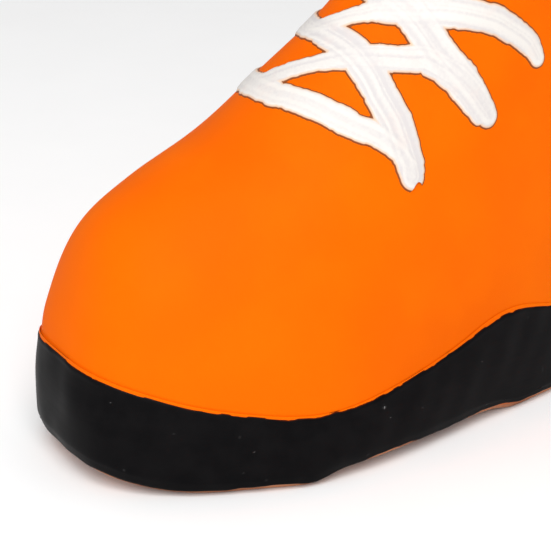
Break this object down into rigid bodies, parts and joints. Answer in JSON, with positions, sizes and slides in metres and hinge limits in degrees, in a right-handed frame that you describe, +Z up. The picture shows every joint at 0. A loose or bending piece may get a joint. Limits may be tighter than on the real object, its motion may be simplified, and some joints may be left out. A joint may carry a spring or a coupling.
{
  "type": "squeaky high top shoe toy",
  "caption": "Hollow latex squeaky toy moulded as a basketball high top, with painted sole band, painted criss-cross laces and a reed squeaker in the arch",
  "frame": {"origin": "centre of the bounding box on the ground plane, under the middle of the sole", "axes": "+Z up; the toe points to -Y and the heel to +Y; +X is the wearer's left side"},
  "size_m": [0.0604, 0.1176, 0.104],
  "materials": {
    "orange_latex": "satin moulded latex",
    "black_paint": "satin latex paint, laid on by hand",
    "white_paint": "brushed latex paint",
    "squeaker_plastic": "moulded, satin",
    "reed_film": "thin film, satin"
  },
  "bodies": {
    "toy": {"body_shell": "orange_latex", "sole_coat": "black_paint", "lace_bar": "white_paint", "lace_cross_1": "white_paint", "lace_cross_2": "white_paint", "lace_cross_3": "white_paint", "lace_cross_4": "white_paint", "squeaker_housing": "squeaker_plastic", "squeaker_cap": "squeaker_plastic", "reed_block": "squeaker_plastic", "reed_clamp": "squeaker_plastic"},
    "reed": {"reed": "reed_film"}
  },
  "joints": [
    {"name": "reed_flex", "type": "hinge", "parent": "toy", "child": "reed", "pos_m": [0, 0.0024, 0.00598], "axis": [1, 0, 0], "range_deg": [-2, 4], "stiffness_Nm_per_rad": 0.002}
  ]
}
